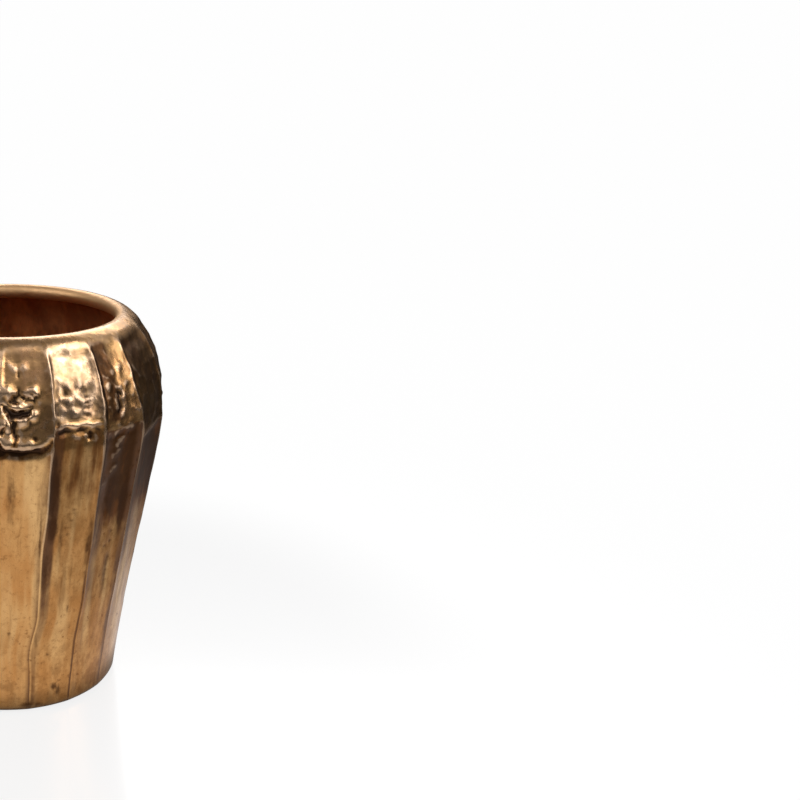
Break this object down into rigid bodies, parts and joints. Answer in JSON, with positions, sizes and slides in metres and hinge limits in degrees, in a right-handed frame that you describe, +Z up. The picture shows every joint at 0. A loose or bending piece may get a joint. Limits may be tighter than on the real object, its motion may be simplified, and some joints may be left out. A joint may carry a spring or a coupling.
{
  "type": "flower pot",
  "caption": "Tall fluted flower pot of hammered brass sheet, wide at the shoulder, with a rolled rim and a flat foot.",
  "frame": {"origin": "on the floor under the middle of the pot", "axes": "+Z up the middle of the pot, towards its mouth; -Y towards the picture's viewer, +X to the viewer's right"},
  "size_m": [0.2668, 0.2668, 0.32],
  "materials": {
    "hammered_brass": "hammered, polished and toned to an old gold-brown",
    "pan_brass": "dull, left as pressed",
    "steel_wire": "dull drawn wire",
    "felt": "pressed felt"
  },
  "bodies": {
    "root": {"fluted_wall": "hammered_brass", "rim_wire": "steel_wire", "base_pan": "pan_brass", "felt_pad_1": "felt", "felt_pad_2": "felt", "felt_pad_3": "felt", "felt_pad_4": "felt"}
  },
  "joints": []
}
